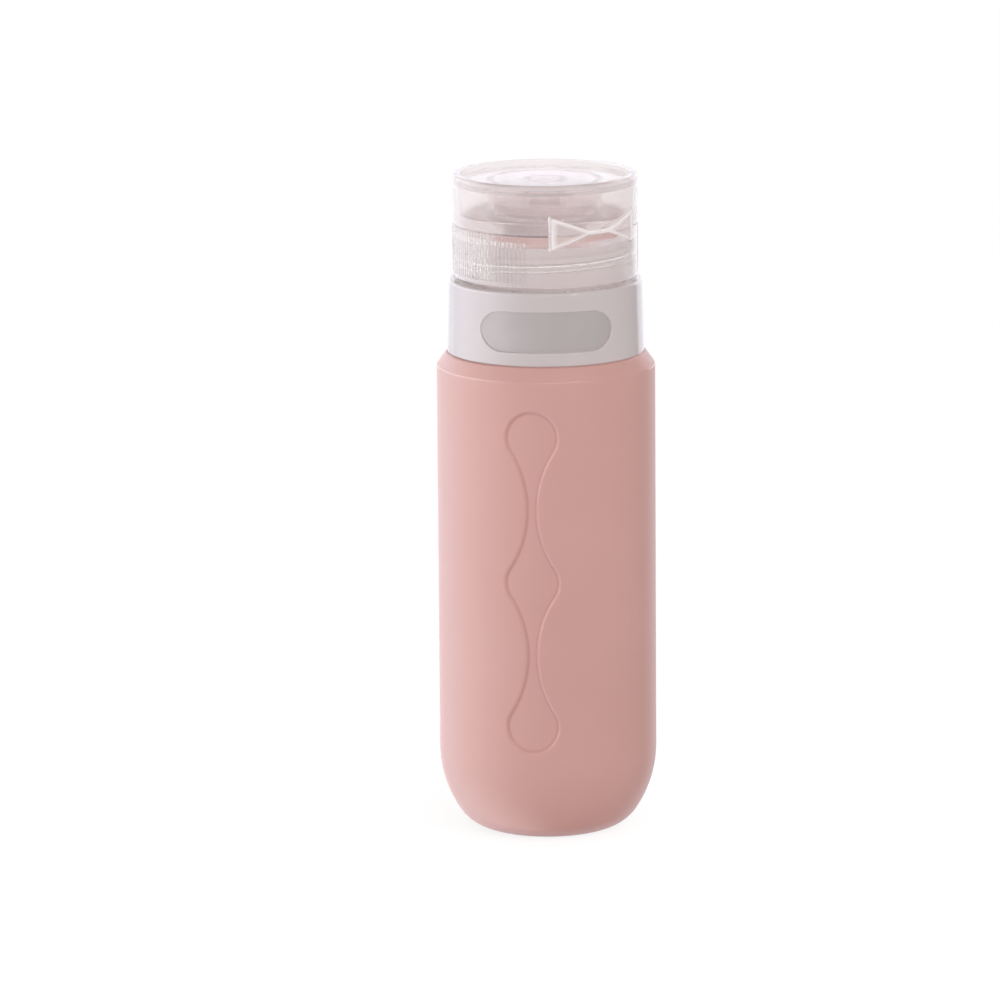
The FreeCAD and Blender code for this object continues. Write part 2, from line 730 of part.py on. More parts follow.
def make_flip_lid():
    lid = new_body("lid_turned")
    inside = f"{CAP_RADIUS} - lid_wall"
    rim_inside = f"{CAP_RADIUS} - lid_rim_width"
    ring_inside = "boss_radius + lid_ring_gap"
    ring_tip = f"{ring_inside} + lid_ring_wall"
    ring_bottom = f"{BOSS_TOP} - lid_ring_overlap"
    stopper_tip = f"{BOSS_TOP} - stopper_overlap"
    stopper = "orifice_radius - stopper_gap"
    stopper_inside = f"{stopper} - stopper_taper - stopper_wall"
    add_turned(
        lid,
        "Revolution",
        "lid_profile",
        [
            (inside, LID_RIM),
            (CAP_RADIUS, LID_RIM),
            (CAP_RADIUS, LID_TOP),
            (rim_inside, LID_TOP),
            (rim_inside, LID_PLATE),
            ("0", LID_PLATE),
            ("0", LID_CEILING),
            (stopper_inside, LID_CEILING),
            (stopper_inside, stopper_tip),
            (f"{stopper} - stopper_taper", stopper_tip),
            (stopper, LID_CEILING),
            (ring_inside, LID_CEILING),
            (ring_inside, ring_bottom),
            (ring_tip, ring_bottom),
            (f"{ring_tip} + lid_ring_taper", LID_CEILING),
            (inside, LID_CEILING),
        ],
    )
    add_fillet(lid, "lid_rim_edge", ring_edges(lid, CAP_RADIUS, LID_TOP), "lid_rim_round")
    add_fillet(lid, "lid_rim_inner_edge", ring_edges(lid, rim_inside, LID_TOP), "lid_rim_inner_round")
    half = "thumb_ledge_width / 2"
    ledge_top = f"{LID_RIM} + thumb_ledge_height"
    ledge = add_patch(
        "thumb_ledge",
        box_corners(f"-{half}", half, LID_RIM, ledge_top),
        f"({CAP_RADIUS} - lid_wall / 2)",
        f"({CAP_RADIUS} + thumb_ledge_reach)",
        LID_RIM,
        ledge_top,
        backwards=True,
    )
    lid_with_ledge = add_boolean("Fuse", "lid_with_ledge", lid, ledge)
    recess = make_hinge_recess("lid_hinge_recess")
    return turn_to(add_boolean("Cut", "flip_lid", lid_with_ledge, recess), "hinge_azimuth")


def make_hinge_flap(label, side):
    """One triangle of the bow-tie, narrowing towards the middle of the hinge."""
    tip = "flap_tip_offset"
    end = "hinge_half_width"
    corners = [
        (f"{side} * {tip}", f"{HINGE_HEIGHT} - {HINGE_SLOPE} * {tip}"),
        (f"{side} * {end}", f"{HINGE_HEIGHT} - {HINGE_SLOPE} * {end}"),
        (f"{side} * {end}", f"{HINGE_HEIGHT} + {HINGE_SLOPE} * {end}"),
        (f"{side} * {tip}", f"{HINGE_HEIGHT} + {HINGE_SLOPE} * {tip}"),
    ]
    bottom = f"{HINGE_HEIGHT} - hinge_end_height / 2"
    top = f"{HINGE_HEIGHT} + hinge_end_height / 2"
    return turn_to(add_patch(label, corners, FLAP_INSIDE, FLAP_OUTSIDE, bottom, top), "hinge_azimuth")


def check_and_write(pieces):
    """Stops on any failed object, then writes each piece to a file of its own name."""
    for item in doc.Objects:
        if "Invalid" in item.State or "Error" in item.State:
            raise RuntimeError(f"{item.Label} failed: {item.State}")
    for piece in pieces:
        shape = piece.Shape
        if shape.isNull() or not shape.isValid() or len(shape.Solids) != 1:
            raise RuntimeError(f"{piece.Label} isn't one valid solid")
    os.makedirs("parts", exist_ok=True)
    for piece in pieces:
        piece.Shape.exportStep(f"parts/{piece.Label}.step")
        print(f"{piece.Label}: {piece.Shape.Volume:.1f} mm3")


pieces = [
    make_silicone_bottle(),
    make_threaded_neck(),
    make_label_band(),
    make_window_collar(),
    make_cap_base(),
    make_dispensing_valve(),
    make_valve_retainer(),
    make_flip_lid(),
    make_hinge_flap("hinge_flap_left", "-1"),
    make_hinge_flap("hinge_flap_right", "1"),
]
doc.recompute()
check_and_write(pieces)
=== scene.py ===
import math

import bpy
import numpy as np
from mathutils import Matrix, Vector


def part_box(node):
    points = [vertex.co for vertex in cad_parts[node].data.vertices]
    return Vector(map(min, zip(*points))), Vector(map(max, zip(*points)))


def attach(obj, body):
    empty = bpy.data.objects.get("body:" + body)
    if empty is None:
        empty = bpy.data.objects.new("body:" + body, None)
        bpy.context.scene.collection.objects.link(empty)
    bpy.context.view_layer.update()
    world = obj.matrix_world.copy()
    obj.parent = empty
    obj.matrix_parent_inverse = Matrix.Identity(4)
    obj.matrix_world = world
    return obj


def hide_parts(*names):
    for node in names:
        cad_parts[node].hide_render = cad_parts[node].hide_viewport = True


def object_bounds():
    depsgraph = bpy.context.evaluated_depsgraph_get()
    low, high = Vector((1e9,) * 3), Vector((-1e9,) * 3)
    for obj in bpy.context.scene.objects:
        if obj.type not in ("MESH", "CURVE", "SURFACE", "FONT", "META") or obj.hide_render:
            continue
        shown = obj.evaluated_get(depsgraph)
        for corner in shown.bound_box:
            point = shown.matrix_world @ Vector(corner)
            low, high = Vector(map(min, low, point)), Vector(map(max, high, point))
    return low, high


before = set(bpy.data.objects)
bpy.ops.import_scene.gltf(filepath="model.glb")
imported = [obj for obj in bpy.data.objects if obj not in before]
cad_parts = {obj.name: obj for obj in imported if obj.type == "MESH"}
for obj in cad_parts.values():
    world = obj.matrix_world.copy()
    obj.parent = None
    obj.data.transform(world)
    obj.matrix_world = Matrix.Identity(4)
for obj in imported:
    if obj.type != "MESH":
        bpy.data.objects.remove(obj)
cad_low, cad_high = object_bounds()

# Sizes are in metres. MM turns a size in millimetres into metres.
MM = 0.001
QUARTER_TURN = math.pi / 2

# Soft bottle: the same turned outline as its solid, with softer edges
BODY_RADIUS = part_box("silicone_bottle")[1].x
LIP_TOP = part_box("silicone_bottle")[1].z
SHOULDER_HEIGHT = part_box("threaded_neck")[0].z
LIP_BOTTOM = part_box("threaded_neck")[1].z
SHELL_WALL = 1.9 * MM
BOTTOM_ROUND_WIDTH = 10.0 * MM
BOTTOM_ROUND_HEIGHT = 15.5 * MM
BOTTOM_LOW_RADIUS = 7.6 * MM
FOOT_RING_WIDTH = 3.3 * MM
FOOT_DISH_DEPTH = 0.5 * MM
SHOULDER_WIDTH = 1.8 * MM
SHOULDER_DROP = 2.5 * MM
SHOULDER_LOW_ROUND = 0.8 * MM
SHOULDER_HIGH_ROUND = 0.5 * MM
CAVITY_ROUND = 3.0 * MM
NECK_RADIUS = 14.0 * MM
NECK_BORE = 12.3 * MM
LIP_RADIUS = 15.0 * MM
LIP_ROUND = 0.35 * MM
NECK_ROOT_ROUND = 0.5 * MM

# Shares of the foot dish's radius where its flat middle has points
DISH_FLAT_SHARES = (0.4, 0.8)
# Soft edge of the dish: outward from its radius and up, as shares of its depth
DISH_EDGE_SHARES = ((-1, 0.9), (-0.5, 0.5), (0, 0.04), (0.5, 0))

# How many steps the stretches of the soft bottle's outline have
BOTTOM_LOW_STEPS = 14
BOTTOM_HIGH_STEPS = 12
BOTTOM_INSIDE_STEPS = 10
EDGE_STEPS = 8
LIP_STEPS = 5
SHORT_RUN_STEPS = 4
NECK_RUN_STEPS = 8
CAVITY_RUN_STEPS = 12

# Sunk grip panel
PANEL_BOTTOM = 18.3 * MM
PANEL_TOP = SHOULDER_HEIGHT - 8.0 * MM
PANEL_LOBE = 5.0 * MM
PANEL_WAIST = 2.1 / 2 * MM
PANEL_MIDDLE = 10.4 / 2 * MM
PANEL_CORNER = 5.0 * MM
PANEL_DEPTH = 0.4 * MM
PANEL_EDGE_OUTSIDE = 0.25 * MM
PANEL_EDGE_INSIDE = 0.35 * MM
# Painted shade: a darker band just inside the panel's outline, at the foot of its step; how far
# inside and how wide
PANEL_SHADE_INSIDE = 0.3 * MM
PANEL_SHADE_WIDTH = 0.22 * MM
PANEL_GRID = 0.165 * MM
PANEL_MARGIN = 0.8 * MM
PANEL_COLUMNS = 88
PLAIN_COLUMNS = 72
PANEL_OUTLINE_POINTS = 1201
PANEL_BATCH = 4000
PANEL_PAINTED_SHADE = "panel_painted_shade"
EDGE_SHINE = "edge_shine"

# Bow-tie hinge, two wings on the cap's round wall, each with soft rims
HINGE_AZIMUTH = math.radians(43.3)
HINGE_HEIGHT = 116.0 * MM
FLAP_TIP = 0.05 * MM
FLAP_END = 9.05 * MM
FLAP_END_HALF = 2.97 * MM
FLAP_WAIST = 2.3 * MM
FLAP_WAIST_HALF = 0.4 * MM
FLAP_FLOOR = 16.85 * MM
FLAP_FACE = 17.8 * MM
FLAP_RIM = 0.8 * MM
FLAP_RIM_DROP = 0.5 * MM
FLAP_RIM_SHARE = 0.9
FLAP_RIM_STEPS = 7
FLAP_STEPS = 24
FLAP_CREASE = 40
# Painted highlight: the wings' rims are made milky white so they show as bright edges
FLAP_PAINTED_HIGHLIGHT = "rim"

# Slit valve
VALVE_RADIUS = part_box("dispensing_valve")[1].x
VALVE_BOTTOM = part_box("dispensing_valve")[0].z
VALVE_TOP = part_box("dispensing_valve")[1].z
VALVE_FLANGE = 1.1 * MM
VALVE_HEAD = 4.2 * MM
VALVE_HOLLOW = 3.7 * MM
VALVE_WEB = 0.5 * MM
VALVE_ROUND = 0.2 * MM
VALVE_DISH = 0.2 * MM
VALVE_WEB_SHARES = (0.1, 0.4, 0.7)
VALVE_ROUND_STEPS = 4
VALVE_RINGS = 12
VALVE_CREASE = 50
SLIT_LENGTH = 5.6 * MM
SLIT_WIDTH = 0.2 * MM
SLIT_DEPTH = 0.2 * MM
SLIT_WIDEST_ANGLE = math.radians(30)
SLIT_FILL = 13

# Materials
NOISE_SPAN = (0.3, 0.7)
HAZE_SPREAD = 0.15
# Rays that were mirrored more often than this go straight through clear plastic
MOST_GLOSS = 1.5
LID_DIMMING_COLOUR = (0.2, 0.0, 0.05, 1)
LID_DIMMING_DENSITY = 14.0

# Stage
WHITE = (1, 1, 1, 1)
FLOOR_COLOUR = (0.93, 0.92, 0.92, 1)
FLOOR_GLOW = 1.14
FLOOR_GLOW_SHARE = 0.75
FLOOR_SIDE = 8.0
AMBIENT = 0.67
# A ray that meets the world after one mirroring has a depth under this
FIRST_BOUNCE = 2.5
MIRRORED_PEAK = 9.0
MIRRORED_TINT = (0.93, 0.94, 1.02)
MIRRORED = (
    # azimuth from the camera in degrees, and the share of the peak that a gloss shows from there
    (-180, 0.2),
    (-150, 0.33),
    (-139, 0.48),
    (-136, 0.44),
    (-125, 0.63),
    (-110, 0.87),
    (-95, 1.0),
    (-75, 0.9),
    (-60, 0.72),
    (-50, 0.55),
    (-35, 0.33),
    (-20, 0.18),
    (0, 0.07),
    (20, 0.04),
    (136, 0.04),
    (141, 0.26),
    (160, 0.26),
    (180, 0.2),
)
MIRRORED_HEIGHT = (
    # height of the direction, -1 straight down to 1 straight up, and the share that is left there
    (-1, 0.62),
    (-0.2, 0.62),
    (0, 0.85),
    (0.25, 1.0),
    (0.45, 0.8),
    (0.7, 0.32),
    (1, 0.22),
)
LAMPS = (
    # name, azimuth and elevation in degrees, distance, width, height, strength in watts
    ("front_softbox", 14, 26, 1.0, 0.5, 0.2, 1.6),
    ("right_lamp", 44, 36, 1.0, 0.16, 0.16, 1.2),
)

# Camera, fitted to the photograph, with its roll in radians
CAMERA_AZIMUTH = math.radians(7.9)
CAMERA_REACH = 1300 * MM
CAMERA_HEIGHT = 333.2 * MM
CAMERA_AIM_HEIGHT = 62.5 * MM
CAMERA_AIM_LEFT = 8.8 * MM
CAMERA_ROLL = -0.0075
CAMERA_LENS = 253.9
CAMERA_CLIP = 50 * MM


# Meshes


def make_piece(name, vertices, faces, material, body, crease=180):
    mesh = bpy.data.meshes.new(name)
    mesh.from_pydata([tuple(v) for v in vertices], [], [tuple(f) for f in faces])
    mesh.validate()
    mesh.shade_smooth()
    mesh.set_sharp_from_angle(angle=math.radians(crease))
    mesh.materials.append(material)
    piece = bpy.data.objects.new(name, mesh)
    bpy.context.scene.collection.objects.link(piece)
    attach(piece, body)
    return piece


def keep_values(piece, name, values):
    """The mesh holds a value at each of its points, for its material."""
    attribute = piece.data.attributes.new(name, "FLOAT", "POINT")
    attribute.data.foreach_set("value", values)


def arc(centre, radius, start, end, steps):
    """Points of a round stretch of an outline, angles in degrees from the outward direction."""
    angles = np.radians(np.linspace(start, end, steps + 1))
    return [(centre[0] + radius * math.cos(a), centre[1] + radius * math.sin(a)) for a in angles]


def straight(start, end, steps):
    """Points between two ends, without the ends."""
    shares = np.linspace(0, 1, steps + 1)[1:-1]
    return [tuple(np.array(start) + share * (np.array(end) - np.array(start))) for share in shares]


def turned_grid(radii, heights, angles):
    """Vertices and faces of a closed shell of rows round the axis, closed on it at both ends."""
    radii, heights, angles = np.broadcast_arrays(radii, heights, angles)
    rows, columns = radii.shape
    points = [radii * np.sin(angles), -radii * np.cos(angles), heights]
    vertices = np.stack(points, axis=2).reshape(-1, 3)
    faces = []
    for row in range(rows - 1):
        for column in range(columns):
            after = (column + 1) % columns
            low = row * columns
            high = low + columns
            faces.append((low + column, low + after, high + after, high + column))
    bottom = len(vertices)
    poles = np.array([[0, 0, heights[0].min()], [0, 0, heights[-1].min()]])
    last = (rows - 1) * columns
    for column in range(columns):
        after = (column + 1) % columns
        faces.append((bottom, after, column))
        faces.append((bottom + 1, last + column, last + after))
    return np.concatenate([vertices, poles]), faces


# Grip panel


def panel_half_width(height):
    """Half the panel's width at a height above or below its middle."""

    def root(value):
        return np.sqrt(np.maximum(value, 0))

    spacing = (PANEL_TOP - PANEL_BOTTOM) / 2 - PANEL_LOBE
    half = spacing / 2
    point = PANEL_MIDDLE - PANEL_CORNER
    end_arc = (half**2 + PANEL_WAIST**2 - PANEL_LOBE**2) / (2 * (PANEL_LOBE - PANEL_WAIST))
    inset = PANEL_WAIST - point
    middle_arc = (half**2 + inset**2 - PANEL_CORNER**2) / (2 * (PANEL_CORNER - inset))
    lobe_start = spacing - PANEL_LOBE * half / (end_arc + PANEL_LOBE)
    corner_end = PANEL_CORNER * half / (middle_arc + PANEL_CORNER)
    t = np.abs(height)
    corner = point + root(PANEL_CORNER**2 - t**2)
    middle = PANEL_WAIST + middle_arc - root(middle_arc**2 - (t - half) ** 2)
    end = PANEL_WAIST + end_arc - root(end_arc**2 - (t - half) ** 2)
    lobe = root(PANEL_LOBE**2 - (t - spacing) ** 2)
    return np.select([t < corner_end, t < half, t < lobe_start], [corner, middle, end], lobe)


def panel_distance(across, height):
    """How far points of the front view lie inside the panel's outline, below zero outside it."""
    middle = (PANEL_TOP + PANEL_BOTTOM) / 2
    reach = (PANEL_TOP - PANEL_BOTTOM) / 2
    outline_z = reach * np.sin(np.linspace(-QUARTER_TURN, QUARTER_TURN, PANEL_OUTLINE_POINTS))
    outline_x = panel_half_width(outline_z)
    x = np.abs(across).ravel()
    z = (height - middle).ravel()
    gap = np.zeros(x.shape)
    for start in range(0, len(x), PANEL_BATCH):
        part = slice(start, start + PANEL_BATCH)
        apart = np.hypot(x[part, None] - outline_x, z[part, None] - outline_z)
        gap[part] = apart.min(axis=1)
    inside = (np.abs(z) < reach) & (x < panel_half_width(z))
    return np.where(inside, gap, -gap).reshape(across.shape)


def panel_sink(distance):
    """Depth of the panel at a distance inside its outline, with a soft step."""
    share = (distance + PANEL_EDGE_OUTSIDE) / (PANEL_EDGE_OUTSIDE + PANEL_EDGE_INSIDE)
    share = np.clip(share, 0, 1)
    return PANEL_DEPTH * share**2 * (3 - 2 * share)


# Soft bottle

FOOT_RADIUS = BODY_RADIUS - BOTTOM_ROUND_WIDTH
LOW_CENTRE = (FOOT_RADIUS, BOTTOM_LOW_RADIUS)
BOTTOM_HIGH_RADIUS = (
    BOTTOM_ROUND_WIDTH**2 + BOTTOM_ROUND_HEIGHT**2 - 2 * BOTTOM_ROUND_HEIGHT * BOTTOM_LOW_RADIUS
) / (2 * (BOTTOM_ROUND_WIDTH - BOTTOM_LOW_RADIUS))
HIGH_CENTRE = (BODY_RADIUS - BOTTOM_HIGH_RADIUS, BOTTOM_ROUND_HEIGHT)
# The angle where the bottom's two rounds meet, in degrees
BOTTOM_TURN = math.degrees(math.atan2(LOW_CENTRE[1] - HIGH_CENTRE[1], LOW_CENTRE[0] - HIGH_CENTRE[0]))
SHOULDER_LEAN = math.atan(SHOULDER_WIDTH / SHOULDER_DROP)
WALL_TOP = SHOULDER_HEIGHT - SHOULDER_DROP - SHOULDER_LOW_ROUND * math.tan(SHOULDER_LEAN / 2)
SHOULDER_LOW_CENTRE = (BODY_RADIUS - SHOULDER_LOW_ROUND, WALL_TOP)
HIGH_ROUND_REACH = SHOULDER_HIGH_ROUND * math.tan(QUARTER_TURN / 2 - SHOULDER_LEAN / 2)
LEDGE_RADIUS = BODY_RADIUS - SHOULDER_WIDTH - HIGH_ROUND_REACH
SHOULDER_HIGH_CENTRE = (LEDGE_RADIUS, SHOULDER_HEIGHT - SHOULDER_HIGH_ROUND)


def wall_outline():
    """Outside of the shell, from the dish under its foot up to the end of its shoulder."""
    dish = FOOT_RADIUS - FOOT_RING_WIDTH
    depth = FOOT_DISH_DEPTH
    panel_low = PANEL_BOTTOM - PANEL_MARGIN
    panel_high = PANEL_TOP + PANEL_MARGIN
    panel_rows = round((panel_high - panel_low) / PANEL_GRID)
    lean = math.degrees(SHOULDER_LEAN)
    outline = [(dish * share, depth) for share in DISH_FLAT_SHARES]
    outline += [(dish + depth * out, depth * up) for out, up in DISH_EDGE_SHARES]
    outline += arc(LOW_CENTRE, BOTTOM_LOW_RADIUS, -90, BOTTOM_TURN, BOTTOM_LOW_STEPS)
    outline += arc(HIGH_CENTRE, BOTTOM_HIGH_RADIUS, BOTTOM_TURN, 0, BOTTOM_HIGH_STEPS)[1:]
    outline += straight((BODY_RADIUS, BOTTOM_ROUND_HEIGHT), (BODY_RADIUS, panel_low), SHORT_RUN_STEPS)
    outline += [(BODY_RADIUS, z) for z in np.linspace(panel_low, panel_high, panel_rows + 1)]
    outline += straight((BODY_RADIUS, panel_high), (BODY_RADIUS, WALL_TOP), SHORT_RUN_STEPS)
    outline += arc(SHOULDER_LOW_CENTRE, SHOULDER_LOW_ROUND, 0, lean, EDGE_STEPS)
    outline += arc(SHOULDER_HIGH_CENTRE, SHOULDER_HIGH_ROUND, lean, 90, EDGE_STEPS)
    return outline


def neck_outline():
    """The shell's neck, from the shoulder up over the lip to the lip's inner edge."""
    root = NECK_RADIUS + NECK_ROOT_ROUND
    neck_low = (NECK_RADIUS, SHOULDER_HEIGHT + NECK_ROOT_ROUND)
    neck_high = (NECK_RADIUS, LIP_BOTTOM)
    lip = LIP_RADIUS - LIP_ROUND
    lip_top = LIP_TOP - LIP_ROUND
    outline = straight((LEDGE_RADIUS, SHOULDER_HEIGHT), (root, SHOULDER_HEIGHT), SHORT_RUN_STEPS)
    outline += [(root, SHOULDER_HEIGHT), neck_low]
    outline += straight(neck_low, neck_high, NECK_RUN_STEPS)
    outline += [neck_high]
    outline += arc((lip, LIP_BOTTOM + LIP_ROUND), LIP_ROUND, -90, 0, LIP_STEPS)
    outline += arc((lip, lip_top), LIP_ROUND, 0, 90, LIP_STEPS)
    outline += arc((NECK_BORE + LIP_ROUND, lip_top), LIP_ROUND, 90, 180, LIP_STEPS)
    return outline


def inside_outline():
    """Inside of the shell, from the lip's inner edge down to the middle of its floor."""
    cavity = BODY_RADIUS - SHELL_WALL
    cavity_top = SHOULDER_HEIGHT - SHELL_WALL
    cavity_edge = cavity_top - CAVITY_ROUND
    high = BOTTOM_HIGH_RADIUS - SHELL_WALL
    low = BOTTOM_LOW_RADIUS - SHELL_WALL
    outline = straight((NECK_BORE, LIP_TOP - LIP_ROUND), (NECK_BORE, cavity_top), NECK_RUN_STEPS)
    outline += [(NECK_BORE, cavity_top)]
    outline += arc((cavity - CAVITY_ROUND, cavity_edge), CAVITY_ROUND, 90, 0, EDGE_STEPS)
    outline += straight((cavity, cavity_edge), (cavity, BOTTOM_ROUND_HEIGHT), CAVITY_RUN_STEPS)
    outline += arc(HIGH_CENTRE, high, 0, BOTTOM_TURN, BOTTOM_INSIDE_STEPS)
    outline += arc(LOW_CENTRE, low, BOTTOM_TURN, -90, BOTTOM_INSIDE_STEPS)[1:]
    outline += straight((FOOT_RADIUS, SHELL_WALL), (0, SHELL_WALL), SHORT_RUN_STEPS)
    return outline


def shoulder_shine(outline):
    """1 in the middle of the shoulder's lower round and 0 off it, for each point of the outline."""
    away = outline - SHOULDER_LOW_CENTRE
    on_round = np.isclose(np.hypot(*away.T), SHOULDER_LOW_ROUND)
    share = np.clip(np.arctan2(away[:, 1], away[:, 0]) / SHOULDER_LEAN, 0, 1)
    return np.where(on_round, np.sin(math.pi * share), 0)


def make_silicone_bottle(material):
    outline = np.array(wall_outline() + neck_outline() + inside_outline())
    edge = math.asin((PANEL_MIDDLE + PANEL_MARGIN) / BODY_RADIUS)
    front = np.linspace(-edge, edge, PANEL_COLUMNS + 1)
    rest = np.linspace(edge, 2 * math.pi - edge, PLAIN_COLUMNS + 1)[1:-1]
    angles = np.concatenate([front, rest])
    radii = np.repeat(outline[:, :1], len(angles), axis=1)
    heights = outline[:, 1:]
    wall_rows = np.flatnonzero(np.isclose(outline[:, 0], BODY_RADIUS))
    block = np.ix_(wall_rows, np.arange(len(front)))
    across, up = np.broadcast_arrays(BODY_RADIUS * np.sin(front), heights[wall_rows])
    distance = panel_distance(across, up)
    radii[block] -= panel_sink(distance)
    # Painted shade along the inner foot of the panel's step, where its recess is shaded
    painted_shade = np.zeros(radii.shape)
    painted_shade[block] = np.exp(-(((distance - PANEL_SHADE_INSIDE) / PANEL_SHADE_WIDTH) ** 2))
    shine = np.repeat(shoulder_shine(outline), len(angles))
    vertices, faces = turned_grid(radii, heights, angles)
    piece = make_piece("soft_bottle", vertices, faces, material, "bottle")
    poles = [0, 0]
    keep_values(piece, PANEL_PAINTED_SHADE, np.append(painted_shade.ravel(), poles))
    keep_values(piece, EDGE_SHINE, np.append(shine, poles))
    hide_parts("silicone_bottle")


# Slit valve


def valve_outline():
    """The valve from the middle of its hollow, round its flange and over its dished head."""
    flange_top = VALVE_BOTTOM + VALVE_FLANGE
    web_bottom = VALVE_TOP - VALVE_WEB
    soft = VALVE_ROUND
    steps = VALVE_ROUND_STEPS
    outline = [(VALVE_HOLLOW * share, web_bottom) for share in VALVE_WEB_SHARES]
    outline += arc((VALVE_HOLLOW - soft, web_bottom - soft), soft, 90, 0, steps)
    outline += [(VALVE_HOLLOW, VALVE_BOTTOM)]
    outline += arc((VALVE_RADIUS - soft, VALVE_BOTTOM + soft), soft, -90, 0, steps)
    outline += arc((VALVE_RADIUS - soft, flange_top - soft), soft, 0, 90, steps)
    outline += arc((VALVE_HEAD + soft, flange_top + soft), soft, 270, 180, steps)
    outline += arc((VALVE_HEAD - soft, VALVE_TOP - soft), soft, 0, 90, steps)
    head = VALVE_HEAD - soft
    for radius in np.linspace(head, SLIT_WIDTH / 2, VALVE_RINGS)[1:]:
        outline.append((radius, VALVE_TOP - VALVE_DISH * (1 - (radius / head) ** 2)))
    return outline


def make_valve(material):
    """A soft disc with a dished head that is cut by two crossed slits."""
    outline = np.array(valve_outline())
    radii = outline[:, :1]
    top = np.arange(len(outline)) >= len(outline) - VALVE_RINGS
    lip = np.arcsin(np.minimum(SLIT_WIDTH / 2 / radii, math.sin(SLIT_WIDEST_ANGLE)))
    fill = np.linspace(0, 1, SLIT_FILL)
    between = lip + (QUARTER_TURN - 2 * lip) * fill
    quarter = [np.zeros(radii.shape), lip / 2, between, QUARTER_TURN - lip / 2]
    quarter = np.concatenate(quarter, axis=1)
    angles = np.concatenate([quarter + turn * QUARTER_TURN for turn in range(4)], axis=1)
    cut = np.zeros(quarter.shape[1])
    cut[[0, 1, -1]] = SLIT_DEPTH
    ends = np.clip((SLIT_LENGTH / 2 - radii) / VALVE_ROUND, 0, 1) * top[:, None]
    heights = outline[:, 1:] - np.tile(cut, 4) * ends
    vertices, faces = turned_grid(radii, heights, angles + HINGE_AZIMUTH)
    piece = make_piece("slit_valve", vertices, faces, material, "cap", crease=VALVE_CREASE)
    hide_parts("dispensing_valve")


# Hinge wings


def make_flap(name, node, side, body, material):
    """One wing of the bow-tie hinge, lying on the round wall to one side (-1 or 1) of the waist."""
    slope = (FLAP_END_HALF - FLAP_WAIST_HALF) / (FLAP_END - FLAP_WAIST)
    lean = math.cos(math.atan(slope))
    rim = FLAP_RIM * (1 - np.cos(np.linspace(0, QUARTER_TURN, FLAP_RIM_STEPS + 1)))
    flat = np.linspace(FLAP_TIP, FLAP_END - FLAP_RIM, FLAP_STEPS)
    along = np.concatenate([flat, FLAP_END - rim[-2::-1]])
    half = FLAP_WAIST_HALF + slope * np.maximum(along[:, None] - FLAP_WAIST, 0)
    inset = rim / lean * np.minimum(1, FLAP_RIM_SHARE * half * lean / FLAP_RIM)
    across = np.concatenate([inset - half, (half - inset)[:, ::-1]], axis=1)
    from_side = np.concatenate([inset, inset[:, ::-1]], axis=1) * lean
    from_edge = np.minimum(from_side, FLAP_END - along[:, None])
    fall = 1 - np.clip(from_edge / FLAP_RIM, 0, 1)
    face = FLAP_FACE - FLAP_RIM_DROP * (1 - np.sqrt(1 - fall**2))
    vertices = []
    for radius in (face, np.full(face.shape, FLAP_FLOOR)):
        angle = HINGE_AZIMUTH + side * np.arcsin(along[:, None] / radius)
        points = [radius * np.sin(angle), -radius * np.cos(angle), HINGE_HEIGHT + across]
        vertices.append(np.stack(points, axis=2).reshape(-1, 3))
    rows, columns = across.shape
    count = rows * columns
    faces = []
    for row in range(rows - 1):
        for column in range(columns - 1):
            low = row * columns + column
            quad = [low, low + columns, low + columns + 1, low + 1][::side]
            faces.append(quad)
            faces.append([count + corner for corner in reversed(quad)])
    last = count - columns
    loop = [*range(0, last, columns), *range(last, count - 1)]
    loop += [*range(count - 1, columns - 1, -columns), *range(columns - 1, 0, -1)]
    for start, end in zip(loop, loop[1:] + loop[:1]):
        faces.append([start, count + start, count + end, end][::side])
    vertices = np.concatenate(vertices)
    piece = make_piece(name, vertices, faces, material, body, crease=FLAP_CREASE)
    # Painted highlight along the wing's rims, 1 at the edge
    keep_values(piece, FLAP_PAINTED_HIGHLIGHT, np.tile(fall.ravel(), 2))
    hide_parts(node)


# Materials


def linear(red, green, blue):
    """A colour of the screen, 0 to 255, as the linear colour that a shader takes."""

    def channel(value):
        value /= 255
        return value / 12.92 if value <= 0.04045 else ((value + 0.055) / 1.055) ** 2.4

    return (channel(red), channel(green), channel(blue), 1.0)


class NodeTree:
    """The nodes of a material or a world, with short calls to add and link them."""

    def __init__(self, owner):
        owner.use_nodes = True
        self.nodes = owner.node_tree.nodes
        self.links = owner.node_tree.links

    def give(self, socket, value):
        """An input gets another node's output, or a value of its own."""
        if isinstance(value, bpy.types.NodeSocket):
            self.links.new(value, socket)
        else:
            socket.default_value = value

    def add(self, kind, **inputs):
        """A new node. The names of its inputs have _ in place of spaces."""
        node = self.nodes.new(kind)
        for name, value in inputs.items():
            self.give(node.inputs[name.replace("_", " ")], value)
        return node

    def combine(self, operation, first, second):
        """A value worked out from two others."""
        node = self.nodes.new("ShaderNodeMath")
        node.operation = operation
        self.give(node.inputs[0], first)
        self.give(node.inputs[1], second)
        return node.outputs["Value"]

    def span(self, value, low, high, start=0.0, end=1.0):
        """A value that goes from low to high while another goes from start to end."""
        node = self.add("ShaderNodeMapRange", Value=value, From_Min=start, From_Max=end)
        node.inputs["To Min"].default_value = low
        node.inputs["To Max"].default_value = high
        return node.outputs["Result"]

    def mix(self, factor, first, second):
        """One shader where the factor is 0, and another where it is 1."""
        node = self.nodes.new("ShaderNodeMixShader")
        for socket, source in zip(node.inputs, (factor, first, second)):
            self.links.new(source, socket)
        return node.outputs["Shader"]


